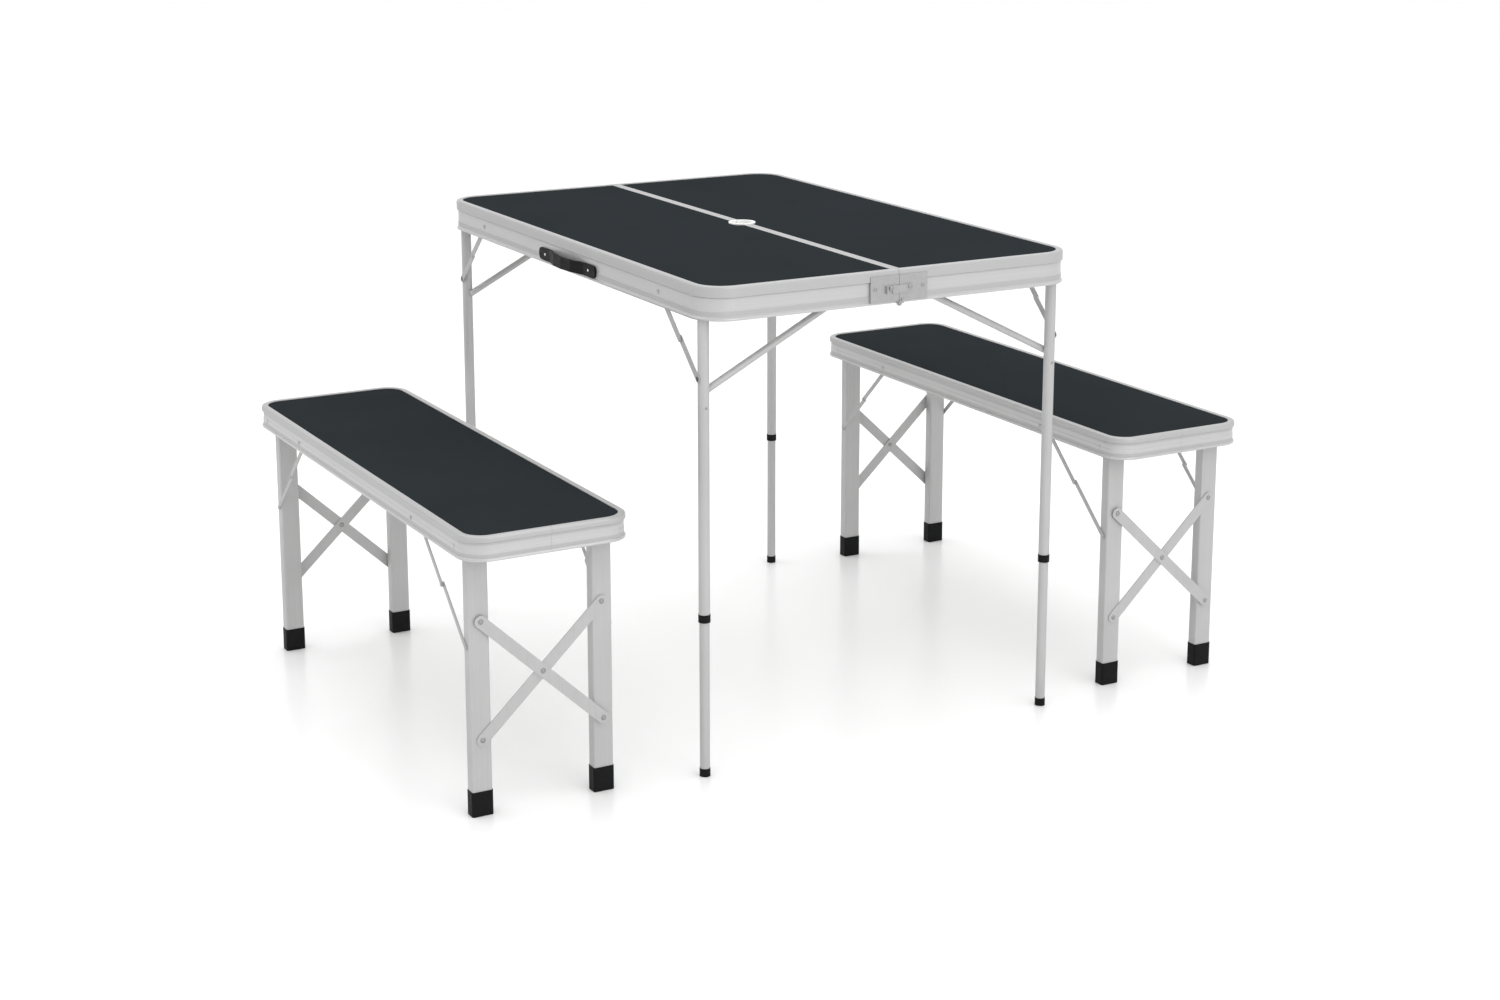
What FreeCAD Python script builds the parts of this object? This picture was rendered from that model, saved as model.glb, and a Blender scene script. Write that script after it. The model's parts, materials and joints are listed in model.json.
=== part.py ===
import FreeCAD, Part

import math
import os
import re

import Sketcher
from FreeCAD import Placement, Rotation, Vector

# Folding picnic table with two folding benches.
#
# Frame of the part, in millimetres: +Z is up, Z = 0 is the floor, X runs along the seam between the
# two halves of the table top, and the origin is under the middle of the table.  "front" is the -Y
# half, which carries the handle, and "rear" the +Y half.  "right" is the +X end, "left" the -X end.
#
# The table top is a case: two shallow halves hinged under the seam.  Each half has a bent aluminium
# rim, a straight seam rail, a laminate panel, two steel end plates and two legs.  A leg is a round
# tube welded to a slanting brace; it folds inwards under its half and is held upright by a stay of
# two flat links.  A smaller tube slides in it.  Each bench has the same kind of rim and panel on two
# cross-braced leg frames, which fold inwards the same way.

DIMENSIONS = {
    # Table top
    "table_length": 900,
    "table_width": 606,
    "table_height": 703,
    "table_rim_height": 48,
    "table_corner_radius": 48,
    "seam_gap": 0.6,
    # Rim section, shared by the table and the benches
    "rim_lip_width": 10,
    "rim_lip_thickness": 1.3,
    "rim_web_recess": 2.5,
    "rim_web_thickness": 1.1,
    "rim_band_step": 0.5,
    "rim_edge_radius": 3,
    "rim_ledge_thickness": 1.2,
    "table_bead_height": 16,
    "table_band_height": 34,
    "bench_bead_height": 9,
    "bench_band_height": 19,
    "foot_bead_height": 5,
    "panel_thickness": 3,
    "panel_slack": 0.1,
    "seam_lip_width": 7,
    "seam_web_thickness": 1.5,
    "seam_lip_drop": 0.7,
    "seam_chamfer": 0.5,
    # Umbrella hole
    "cup_bore_radius": 16,
    "cup_outer_radius": 18,
    "cup_flange_radius": 20.8,
    "cup_flange_rise": 0.6,
    "cup_length": 31,
    # End plates, hinge and hook
    "plate_width": 46.2,
    "plate_thickness": 1.4,
    "plate_top_drop": 7.5,
    "plate_height": 37.5,
    "plate_rivet_offset": 39,
    "plate_rivet_radius": 2.6,
    "plate_rivet_height": 0.9,
    "hinge_pin_radius": 1.5,
    "hinge_ear_radius": 3.4,
    "hinge_head_radius": 2.6,
    "hinge_head_height": 1.4,
    "hinge_strap_width": 3.6,
    "layer_gap": 0.1,
    "running_gap": 0.05,
    "hook_thickness": 1.4,
    "hook_pivot_offset": 17.2,
    "hook_height": 677.5,
    "catch_offset": 13.7,
    "catch_radius": 2,
    "catch_head_radius": 3.4,
    "catch_head_height": 1.1,
    "hook_tip_offset": 20.6,
    "hook_arm_drop": 7.1,
    "hook_arm_rise": 3.8,
    "hook_eye_radius": 4.5,
    "hook_tab_depth": 3,
    "hook_notch_tip_room": 2.6,
    "hook_notch_eye_room": 0.5,
    "hook_notch_top_room": 0.3,
    # Handle
    "handle_length": 194,
    "handle_shift": 12,
    "handle_width": 18,
    "handle_thickness": 3.2,
    "handle_bow": 10,
    "handle_bend_radius": 14,
    "handle_pad_length": 38,
    "handle_height": 669.3,
    # Table legs
    "leg_inset_length": 38,
    "leg_inset_width": 15.6,
    "leg_pivot_height": 668,
    "leg_tube_radius": 8,
    "leg_tube_wall": 0.8,
    "leg_end_height": 228.3,
    "collar_bottom": 226.3,
    "collar_height": 11.4,
    "collar_wall": 0.6,
    "extension_wall": 0.9,
    "extension_top": 286,
    "foot_height": 11.6,
    "foot_sole": 3,
    "foot_wall": 0.55,
    "brace_radius": 5,
    "brace_foot_height": 548,
    "brace_pivot_offset": 52.4,
    "brace_inset": 10,
    "knuckle_wall": 0.6,
    "knuckle_inner_reach": 5,
    "knuckle_outer_reach": 3,
    "yoke_height": 8,
    "stub_length": 9,
    "stub_head_radius": 4.5,
    "stub_head_thickness": 1,
    "leg_pin_radius": 3,
    "bracket_thickness": 1.5,
    "bracket_width": 22,
    "bracket_drop": 6,
    "bracket_gap": 0.5,
    "bracket_pin_rise": 0.8,
    "brace_ear_gap": 8,
    "brace_flange_length": 12,
    "corner_gap": 0.2,
    # Table stays
    "stay_rail_inset": 146,
    "stay_rail_height": 675.4,
    "stay_leg_height": 572.5,
    "stay_width": 10,
    "stay_thickness": 1.1,
    "stay_side_gap": 0.2,
    "stay_link_gap": 0.7,
    "stay_washer_gap": 0.3,
    "stay_rivet_radius": 2,
    "stay_spacer_radius": 4,
    "stay_head_radius": 3.2,
    "stay_head_rise": 1,
    "stay_middle_radius": 3,
    "stay_middle_rise": 0.6,
    "stay_foot_rise": 0.4,
    "stay_tail_radius": 2.8,
    "stay_tail_start": 2.2,
    "stay_tail_end": 3,
    # Benches
    "bench_length": 866,
    "bench_width": 244,
    "bench_height": 402.5,
    "bench_rim_height": 34.8,
    "bench_corner_radius": 38,
    "bench_spacing": 525,
    "bench_leg_inset": 50,
    "bench_leg_depth": 18,
    "bench_leg_width": 29.3,
    "bench_leg_wall": 1.2,
    "bench_leg_edge_radius": 2.5,
    "bench_leg_outer": 105.1,
    "bench_pivot_height": 381,
    "bench_leg_top": 393,
    "bench_pin_radius": 4,
    "bench_foot_height": 35,
    "bench_foot_wall": 1,
    "bench_foot_sole": 3,
    "bench_bar_width": 17,
    "bench_bar_thickness": 2,
    "bench_bar_top": 275,
    "bench_bar_bottom": 108,
    "bench_bar_offset": 89,
    "bench_spacer_radius": 6,
    "bench_stay_rail_offset": 231,
    "bench_stay_leg_height": 238.5,
    "bench_stay_width": 7,
    "bench_stay_thickness": 1.5,
    "bench_stay_side_gap": 0.3,
    "bench_stay_link_gap": 1.2,
    "bench_rivet_radius": 2,
    "bench_spacer_ring_radius": 3.6,
    "bench_head_radius": 2.8,
    "bench_head_rise": 1.4,
    "bench_middle_radius": 3.2,
    "bench_middle_rise": 1,
    "bench_foot_rise": 0.8,
    "bench_tail_radius": 3,
    "bench_tail_start": 1.7,
    "bench_tail_end": 3,
    "bench_shoulder_wall": 2,
    "bench_pin_depth": 5,
    "bench_pin_head_radius": 3.2,
    "bench_pin_head_rise": 1,
}

HALVES = {"front": -1, "rear": 1}
ENDS = {"right": 1, "left": -1}

doc = FreeCAD.newDocument("PicnicTable")
sheet = doc.addObject("Spreadsheet::Sheet", "Dimensions")
for row, (alias, number) in enumerate(DIMENSIONS.items(), start=1):
    sheet.set(f"A{row}", alias)
    sheet.set(f"B{row}", str(number))
    sheet.setAlias(f"B{row}", alias)
doc.recompute()

nodes = []


# ---------------------------------------------------------------- expressions and primitives

def bound(text):
    """The expression with each alias of the sheet written in full."""
    def full_name(word):
        name = word.group(0)
        return f"Dimensions.{name}" if name in DIMENSIONS else name
    return re.sub(r"[a-z][a-z_]+", full_name, str(text))


def size(text):
    """The value of an expression, as a number."""
    value = sheet.evalExpression(bound(text))
    return float(getattr(value, "Value", value))


def place(piece, x, y, z, axis=(0, 0, 1), angle="0"):
    """Turn a piece by an angle about an axis through its own origin, then move it to x, y, z."""
    piece.Placement = Placement(Vector(0, 0, 0), Rotation(Vector(*axis), size(angle)))
    for direction, text in (("x", x), ("y", y), ("z", z)):
        piece.setExpression(f"Placement.Base.{direction}", bound(text))
    if size(angle):
        piece.setExpression("Placement.Rotation.Angle", bound(angle))
    return piece


def box(name, x, y, z):
    """A block between pairs of expressions; each pair runs from its lower to its upper end."""
    piece = doc.addObject("Part::Box", name)
    for edge, (low, high) in (("Length", x), ("Width", y), ("Height", z)):
        piece.setExpression(edge, bound(f"({high}) - ({low})"))
    return place(piece, x[0], y[0], z[0])


ROD_TURNS = {"x": ((0, 1, 0), "90"), "y": ((1, 0, 0), "-90"), "z": ((0, 0, 1), "0")}


def rod(name, along, radius, span, a, b):
    """A cylinder along x, y or z over a span; a and b are its other two coordinates, in order."""
    piece = doc.addObject("Part::Cylinder", name)
    piece.setExpression("Radius", bound(radius))
    piece.setExpression("Height", bound(f"({span[1]}) - ({span[0]})"))
    axis, angle = ROD_TURNS[along]
    spot = {"x": (span[0], a, b), "y": (a, span[0], b), "z": (a, b, span[0])}[along]
    return place(piece, *spot, axis=axis, angle=angle)


def span_outwards(side, near, far):
    """A pair of expressions, in rising order, for distances near to far on one side of zero."""
    if side > 0:
        return near, far
    return f"-({far})", f"-({near})"


def fuse(name, pieces):
    piece = doc.addObject("Part::MultiFuse", name)
    piece.Shapes = pieces
    piece.Refine = True
    return piece


def group(name, pieces):
    """Separate solids kept apart in one sub-part."""
    piece = doc.addObject("Part::Compound", name)
    piece.Links = pieces
    return piece


def cut(name, base, tools):
    piece = doc.addObject("Part::Cut", name)
    piece.Base = base
    piece.Tool = tools[0] if len(tools) == 1 else fuse(f"{name}_tools", tools)
    return piece


def finish(piece, label):
    """Name a finished sub-part; its label is also the name of its file."""
    piece.Label = label
    nodes.append(piece)
    return piece


# ---------------------------------------------------------------- sketches and bodies

def add_body(name):
    return doc.addObject("PartDesign::Body", name)


def add_sketch(body, name, plane, offset="0"):
    """A sketch on one of its body's origin planes, moved along the plane's normal by offset."""
    sketch = body.newObject("Sketcher::SketchObject", name)
    base = next(item for item in body.Origin.OriginFeatures if item.Role == plane)
    sketch.AttachmentSupport = [(base, "")]
    sketch.MapMode = "FlatFace"
    if offset != "0":
        sketch.setExpression("AttachmentOffset.Base.z", bound(offset))
    return sketch


def pin_point(sketch, geometry, end, point):
    """Hold one end of a piece of sketch geometry at a pair of expressions."""
    for kind, axis, text in (("DistanceX", -2, point[0]), ("DistanceY", -1, point[1])):
        if text == "0":
            sketch.addConstraint(Sketcher.Constraint("PointOnObject", geometry, end, axis))
            continue
        index = sketch.addConstraint(Sketcher.Constraint(kind, -1, 1, geometry, end, size(text)))
        sketch.setExpression(f"Constraints[{index}]", bound(text))


def add_line(sketch, start, finish_point):
    corners = [Vector(size(x), size(y), 0) for x, y in (start, finish_point)]
    return sketch.addGeometry(Part.LineSegment(*corners), False)


def draw_outline(sketch, points):
    """A closed outline of straight lines through pairs of expressions."""
    count = len(points)
    for index, point in enumerate(points):
        add_line(sketch, point, points[(index + 1) % count])
    for index, point in enumerate(points):
        before = (index - 1) % count
        sketch.addConstraint(Sketcher.Constraint("Coincident", before, 2, index, 1))
        pin_point(sketch, index, 1, point)


def draw_bent_path(sketch, runs, turns):
    """Straight runs joined by quarter turns; each turn is the centre of its arc."""
    previous = None
    for number, (start, end) in enumerate(runs):
        line = add_line(sketch, start, end)
        pin_point(sketch, line, 1, start)
        pin_point(sketch, line, 2, end)
        if previous is not None:
            join_runs(sketch, previous, line, runs[number - 1][1], start, turns[number - 1])
        previous = line


def join_runs(sketch, before, after, arc_start, arc_end, centre):
    """A clockwise quarter arc, tangent to the run before it and ending on the run after it."""
    middle = Vector(size(centre[0]), size(centre[1]), 0)
    first = Vector(size(arc_start[0]), size(arc_start[1]), 0) - middle
    last = Vector(size(arc_end[0]), size(arc_end[1]), 0) - middle
    low = math.atan2(last.y, last.x)
    high = math.atan2(first.y, first.x)
    turn_left = (last - first).cross(first).z < 0
    if turn_left:
        low, high = high, low
    if high < low:
        high += 2 * math.pi
    circle = Part.Circle(middle, Vector(0, 0, 1), first.Length)
    arc = sketch.addGeometry(Part.ArcOfCircle(circle, low, high), False)
    start_end, last_end = (1, 2) if turn_left else (2, 1)
    sketch.addConstraint(Sketcher.Constraint("Tangent", before, 2, arc, start_end))
    sketch.addConstraint(Sketcher.Constraint("Coincident", arc, last_end, after, 1))


def add_pad(body, sketch, name, length, both_ways=False):
    pad = body.newObject("PartDesign::Pad", name)
    pad.Profile = sketch
    pad.setExpression("Length", bound(length))
    if both_ways:
        pad.SideType = "Symmetric"
    return pad


def round_edges(body, feature, name, radius, chosen):
    """Round the edges of a feature for which chosen(edge) is true."""
    doc.recompute()
    edges = [f"Edge{n}" for n, edge in enumerate(feature.Shape.Edges, start=1) if chosen(edge)]
    fillet = body.newObject("PartDesign::Fillet", name)
    fillet.Base = (feature, edges)
    fillet.setExpression("Radius", bound(radius))
    return fillet


def is_upright(edge):
    direction = edge.Vertexes[-1].Point - edge.Vertexes[0].Point
    return direction.Length > 0 and abs(direction.z) > 0.999 * direction.Length


# ---------------------------------------------------------------- rims, rails and panels

def rim_section(half_length, top, height, bead, band):
    """The rim's outline in the XZ plane at the +X end, read clockwise from the lip's inner edge."""
    def at(inwards, down):
        return f"{half_length} - ({inwards})", f"{top} - ({down})"
    web = "rim_web_recess"
    inside = "rim_web_recess + rim_web_thickness"
    slot = "rim_lip_thickness + panel_thickness + panel_slack"
    round_off = "rim_edge_radius * 0.3"
    return [
        at("rim_lip_width", "rim_lip_thickness"),
        at("rim_lip_width", "0.4"),
        at("rim_edge_radius", "0"),
        at(round_off, round_off),
        at("0", "rim_edge_radius"),
        at("0", f"{bead} - 1"),
        at(web, f"{bead} + 0.5"),
        at(web, band),
        at(f"{web} - rim_band_step", f"{band} + rim_band_step"),
        at(f"{web} - rim_band_step", f"{height} - foot_bead_height"),
        at("0.4", f"{height} - foot_bead_height + 1.2"),
        at("0", f"{height} - foot_bead_height / 2"),
        at("0.6", f"{height} - 0.6"),
        at("rim_edge_radius", height),
        at(inside, height),
        at(inside, f"{slot} + rim_ledge_thickness"),
        at("rim_lip_width", f"{slot} + rim_ledge_thickness"),
        at("rim_lip_width", slot),
        at(inside, slot),
        at(inside, "rim_lip_thickness"),
    ]


def sweep_rim(name, section, section_offset, path_height, runs, turns):
    body = add_body(name)
    path = add_sketch(body, f"{name}_path", "XY_Plane", path_height)
    draw_bent_path(path, runs, turns)
    profile = add_sketch(body, f"{name}_section", "XZ_Plane", section_offset)
    draw_outline(profile, section)
    pipe = body.newObject("PartDesign::AdditivePipe", f"{name}_pipe")
    pipe.Profile = profile
    pipe.Spine = path
    return body


def table_rim(half):
    """One rim: a single extrusion bent round three sides, from the seam back to the seam."""
    side = HALVES[half]
    long, deep, turn = "table_length / 2", "table_width / 2", "table_corner_radius"
    runs = [
        ((long, "-seam_gap / 2"), (long, f"{turn} - {deep}")),
        ((f"{long} - {turn}", f"-{deep}"), (f"{turn} - {long}", f"-{deep}")),
        ((f"-{long}", f"{turn} - {deep}"), (f"-{long}", "-seam_gap / 2")),
    ]
    turns = [(f"{long} - {turn}", f"{turn} - {deep}"), (f"{turn} - {long}", f"{turn} - {deep}")]
    section = rim_section(long, "table_height", "table_rim_height", "table_bead_height",
                          "table_band_height")
    body = sweep_rim(f"{half}_rim_bar", section, "seam_gap / 2", "table_height", runs, turns)
    if side > 0:
        body.Placement = Placement(Vector(0, 0, 0), Rotation(Vector(0, 0, 1), 180))
    web = span_outwards(side, f"{deep} - rim_lip_width", f"{deep} + 1")
    holes = [
        rod(f"{half}_{end}_rim_hole", "y", "stay_rivet_radius + running_gap", web,
            f"{ENDS[end]} * (table_length / 2 - stay_rail_inset)", "stay_rail_height")
        for end in ENDS
    ]
    finish(cut(f"{half}_rim_drilled", body, holes), f"{half}_rim")


def seam_rail(half):
    """The straight rail on the fourth side, with a lip over the panel and a ledge under it."""
    side = HALVES[half]
    body = add_body(f"{half}_rail_bar")
    section = add_sketch(body, f"{half}_rail_section", "YZ_Plane")
    slot = "rim_lip_thickness + panel_thickness + panel_slack"
    near = "seam_gap / 2"
    web = "seam_gap / 2 + seam_web_thickness"
    lip = "seam_gap / 2 + seam_lip_width"

    def at(outwards, down):
        return f"{side} * ({outwards})", f"table_height - ({down})"

    draw_outline(section, [
        at(near, "seam_lip_drop + seam_chamfer"),
        at(f"{near} + seam_chamfer", "seam_lip_drop"),
        at(lip, "seam_lip_drop"),
        at(lip, "rim_lip_thickness"),
        at(web, "rim_lip_thickness"),
        at(web, slot),
        at(lip, slot),
        at(lip, f"{slot} + rim_ledge_thickness"),
        at(web, f"{slot} + rim_ledge_thickness"),
        at(web, "table_rim_height"),
        at(near, "table_rim_height"),
    ])
    add_pad(body, section, f"{half}_rail_pad", "table_length - 2 * rim_lip_width", both_ways=True)
    hole = rod(f"{half}_rail_hole", "z", "cup_outer_radius",
               ("table_height - table_rim_height - 1", "table_height + 1"), "0", "0")
    flange = rod(f"{half}_rail_flange_seat", "z", "cup_flange_radius",
                 ("table_height - rim_lip_thickness", "table_height + 1"), "0", "0")
    finish(cut(f"{half}_rail_cut", body, [hole, flange]), f"{half}_seam_rail")


def panel_block(name, x, y, z, corner, rounded):
    """A flat board with the corners for which rounded(x, y) is true taken round."""
    body = add_body(name)
    outline = add_sketch(body, f"{name}_outline", "XY_Plane", z[0])
    draw_outline(outline, [(x[0], y[0]), (x[1], y[0]), (x[1], y[1]), (x[0], y[1])])
    pad = add_pad(body, outline, f"{name}_pad", f"({z[1]}) - ({z[0]})")

    def at_rounded_corner(edge):
        return is_upright(edge) and rounded(edge.Vertexes[0].X, edge.Vertexes[0].Y)

    round_edges(body, pad, f"{name}_corners", corner, at_rounded_corner)
    return body


PANEL_EDGE = "rim_web_recess + rim_web_thickness + panel_slack"


def panel_levels(top):
    return f"{top} - rim_lip_thickness - panel_thickness - panel_slack / 2", \
        f"{top} - rim_lip_thickness - panel_slack / 2"


def table_panel(half):
    side = HALVES[half]
    reach = f"table_length / 2 - ({PANEL_EDGE})"
    seam_side = "seam_gap / 2 + seam_web_thickness + panel_slack"
    y = span_outwards(side, seam_side, f"table_width / 2 - ({PANEL_EDGE})")
    board = panel_block(f"{half}_board", (f"-({reach})", reach), y, panel_levels("table_height"),
                        f"table_corner_radius - ({PANEL_EDGE})", lambda x, y: abs(y) > 100)
    hole = rod(f"{half}_board_hole", "z", "cup_outer_radius",
               ("table_height - table_rim_height", "table_height + 1"), "0", "0")
    finish(cut(f"{half}_board_cut", board, [hole]), f"{half}_panel")


def umbrella_cup(half):
    """Half of the sleeve that lines the umbrella hole, with a flange on the top face."""
    side = HALVES[half]
    top = "table_height + cup_flange_rise"
    y = span_outwards(side, "seam_gap / 2", "cup_flange_radius + 1")
    sleeve = rod(f"{half}_cup_sleeve", "z", "cup_outer_radius", (f"{top} - cup_length", top),
                 "0", "0")
    flange = rod(f"{half}_cup_flange", "z", "cup_flange_radius",
                 ("table_height - rim_lip_thickness", top), "0", "0")
    bore = rod(f"{half}_cup_bore", "z", "cup_bore_radius",
               (f"{top} - cup_length - 1", f"{top} + 1"), "0", "0")
    ring = cut(f"{half}_cup_ring", fuse(f"{half}_cup_body", [sleeve, flange]), [bore])
    keep = box(f"{half}_cup_side", ("-cup_flange_radius - 1", "cup_flange_radius + 1"), y,
               (f"{top} - cup_length - 1", f"{top} + 1"))
    split = doc.addObject("Part::Common", f"{half}_cup_half")
    split.Base = ring
    split.Tool = keep
    finish(split, f"{half}_umbrella_cup")


# ---------------------------------------------------------------- end plates, hinge and hooks

HINGE_HEIGHT = "table_height - table_rim_height"
PLATE_OUT = "table_length / 2 + plate_thickness"
LAYER_TWO = ("table_length / 2 + plate_thickness + layer_gap",
             "table_length / 2 + plate_thickness + layer_gap + hook_thickness")
RIVET_TOP = "table_length / 2 + plate_thickness + 2 * layer_gap + hook_thickness"


def plate_flange(tag, way, side):
    """The edge of a plate turned in towards the rim's recessed web."""
    web = "table_length / 2 - rim_web_recess + rim_band_step + running_gap"
    edge = "seam_gap / 2 + plate_width"
    return box(f"{tag}_flange", span_outwards(way, web, "table_length / 2"),
               span_outwards(side, f"{edge} - plate_thickness", edge),
               (f"{HINGE_HEIGHT} + foot_bead_height + layer_gap",
                "table_height - table_bead_height - 0.5 - layer_gap"))


def end_plate(half, end):
    """A steel plate on the rim's end, with its share of the hinge and of the hook's fittings."""
    side, way = HALVES[half], ENDS[end]
    tag = f"{half}_{end}_plate"
    face = span_outwards(way, "table_length / 2", PLATE_OUT)
    bottom = "table_height - plate_top_drop - plate_height"
    sheet_metal = box(tag, face, span_outwards(side, "seam_gap / 2", "seam_gap / 2 + plate_width"),
                      (bottom, "table_height - plate_top_drop"))
    flange = plate_flange(tag, way, side)
    rivet = rod(f"{tag}_rivet", "x", "plate_rivet_radius",
                span_outwards(way, "table_length / 2", f"{PLATE_OUT} + plate_rivet_height"),
                f"{side} * plate_rivet_offset", "hook_height")
    fitting = "catch_offset" if half == "front" else "hook_pivot_offset"
    shank = rod(f"{tag}_shank", "x", "catch_radius", span_outwards(way, "table_length / 2", RIVET_TOP),
                f"{side} * {fitting}", "hook_height")
    head = rod(f"{tag}_head", "x", "catch_head_radius",
               span_outwards(way, RIVET_TOP, f"{RIVET_TOP} + catch_head_height"),
               f"{side} * {fitting}", "hook_height")
    if half == "front":
        ear = rod(f"{tag}_ear", "x", "hinge_ear_radius", face, "0", HINGE_HEIGHT)
        tongue = box(f"{tag}_tongue", face, span_outwards(side, "seam_gap / 2", "hinge_ear_radius"),
                     (HINGE_HEIGHT, f"{bottom} + 1"))
        hole = rod(f"{tag}_pin_hole", "x", "hinge_pin_radius",
                   span_outwards(way, "table_length / 2 - 1", f"{PLATE_OUT} + 1"),
                   "0", HINGE_HEIGHT)
        solid = fuse(f"{tag}_solid", [sheet_metal, flange, rivet, shank, head, ear, tongue])
        return cut(f"{tag}_done", solid, [hole])
    relief_radius = "hinge_ear_radius + 0.4"
    relief = rod(f"{tag}_relief", "x", relief_radius,
                 span_outwards(way, "table_length / 2 - 1", f"{PLATE_OUT} + layer_gap / 2"),
                 "0", HINGE_HEIGHT)
    plate = cut(f"{tag}_cleared", sheet_metal, [relief])
    ear = rod(f"{tag}_ear", "x", "hinge_ear_radius", span_outwards(way, *LAYER_TWO), "0",
              HINGE_HEIGHT)
    strap_end = f"{relief_radius} + hinge_strap_width"
    strap = box(f"{tag}_strap", span_outwards(way, PLATE_OUT, LAYER_TWO[1]),
                (relief_radius, strap_end), (bottom, f"{bottom} + hinge_strap_width"))
    bridge = box(f"{tag}_bridge", span_outwards(way, *LAYER_TWO), ("0", strap_end),
                 (HINGE_HEIGHT, f"{HINGE_HEIGHT} + hinge_ear_radius"))
    hole = rod(f"{tag}_pin_hole", "x", "hinge_pin_radius + running_gap",
               span_outwards(way, PLATE_OUT, f"{RIVET_TOP} + 1"), "0", HINGE_HEIGHT)
    solid = fuse(f"{tag}_solid", [plate, flange, rivet, shank, head, ear, strap, bridge])
    return cut(f"{tag}_done", solid, [hole])


def end_plates(half):
    finish(group(f"{half}_plates", [end_plate(half, end) for end in ENDS]), f"{half}_end_plates")


def hinge_pins():
    """A headed pin at each end, fixed in the front plate's ear and turning in the rear one's."""
    pins = []
    for end, way in ENDS.items():
        shank = rod(f"{end}_pin_shank", "x", "hinge_pin_radius",
                    span_outwards(way, "table_length / 2", RIVET_TOP), "0", HINGE_HEIGHT)
        head = rod(f"{end}_pin_head", "x", "hinge_head_radius",
                   span_outwards(way, RIVET_TOP, f"{RIVET_TOP} + hinge_head_height"), "0",
                   HINGE_HEIGHT)
        pins.append(fuse(f"{end}_pin", [shank, head]))
    finish(group("pins", pins), "hinge_pins")


def hook(end):
    """The hook that locks the halves flat: it turns on the rear plate and drops over a stud."""
    way = ENDS[end]
    layer = span_outwards(way, *LAYER_TWO)
    lower, upper = "hook_height - hook_arm_drop", "hook_height + hook_arm_rise"
    arm = box(f"{end}_hook_arm", layer, ("-hook_tip_offset", "hook_pivot_offset - 3"), (lower, upper))
    eye = rod(f"{end}_hook_eye", "x", "hook_eye_radius", layer, "hook_pivot_offset", "hook_height")
    tab = box(f"{end}_hook_tab", span_outwards(way, LAYER_TWO[0], f"{LAYER_TWO[1]} + hook_tab_depth"),
              ("-hook_tip_offset - hook_thickness", "-hook_tip_offset"), (lower, upper))
    through = span_outwards(way, "table_length / 2", f"{LAYER_TWO[1]} + 1")
    hole = rod(f"{end}_hook_hole", "x", "catch_radius + running_gap", through, "hook_pivot_offset",
               "hook_height")
    notch = box(f"{end}_hook_notch", through,
                ("-catch_offset - catch_radius - hook_notch_tip_room",
                 "-catch_offset + catch_radius + hook_notch_eye_room"),
                (f"{lower} - 1", "hook_height + catch_radius + hook_notch_top_room"))
    solid = fuse(f"{end}_hook_solid", [arm, eye, tab])
    finish(cut(f"{end}_hook_cut", solid, [hole, notch]), f"{end}_hook")


# ---------------------------------------------------------------- handle

def carry_handle():
    """A moulded strap with flat ends on the rim and a middle that bows away from it."""
    body = add_body("handle_strap")
    plan = add_sketch(body, "handle_plan", "XY_Plane", "handle_height - handle_width / 2")
    back = "-(table_width / 2 - rim_web_recess + rim_band_step)"
    end = "handle_length / 2"
    pad_end = "handle_length / 2 - handle_pad_length"
    quarter = "(handle_length / 2 - handle_pad_length) / 2"
    thick = "handle_thickness"

    def at(x, outwards):
        return x, f"{back} - ({outwards})"

    draw_outline(plan, [
        at(f"-{end}", "0"), at(f"-({pad_end})", "0"), at(f"-{quarter}", "handle_bow * 0.8"),
        at("0", "handle_bow"), at(quarter, "handle_bow * 0.8"), at(pad_end, "0"), at(end, "0"),
        at(end, thick), at(pad_end, thick), at(quarter, f"handle_bow * 0.8 + {thick}"),
        at("0", f"handle_bow + {thick}"), at(f"-{quarter}", f"handle_bow * 0.8 + {thick}"),
        at(f"-({pad_end})", thick), at(f"-{end}", thick),
    ])
    pad = add_pad(body, plan, "handle_pad", "handle_width")

    def at_bend(edge):
        return is_upright(edge) and abs(edge.Vertexes[0].X) < size(pad_end) + 1

    bends = round_edges(body, pad, "handle_bends", "handle_bend_radius", at_bend)

    def at_end_corner(edge):
        across = edge.Vertexes[-1].Point - edge.Vertexes[0].Point
        return abs(edge.Vertexes[0].X) > size(end) - 0.01 and abs(across.y) > 0.9 * across.Length

    round_edges(body, bends, "handle_ends", "handle_width * 0.42", at_end_corner)
    body.setExpression("Placement.Base.x", bound("handle_shift"))
    finish(body, "carry_handle")


# ---------------------------------------------------------------- table legs

LEG_X = "(table_length / 2 - leg_inset_length)"
LEG_Y = "(table_width / 2 - leg_inset_width)"
LEG_BORE = "(leg_tube_radius - leg_tube_wall)"
EXTENSION_RADIUS = "(leg_tube_radius - leg_tube_wall - running_gap)"


def tube(name, radius, wall, span, x, y):
    outside = rod(f"{name}_outside", "z", radius, span, x, y)
    inside = rod(f"{name}_inside", "z", f"{radius} - {wall}", (f"{span[0]} - 1", f"{span[1]} + 1"),
                 x, y)
    return cut(name, outside, [inside])


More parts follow.
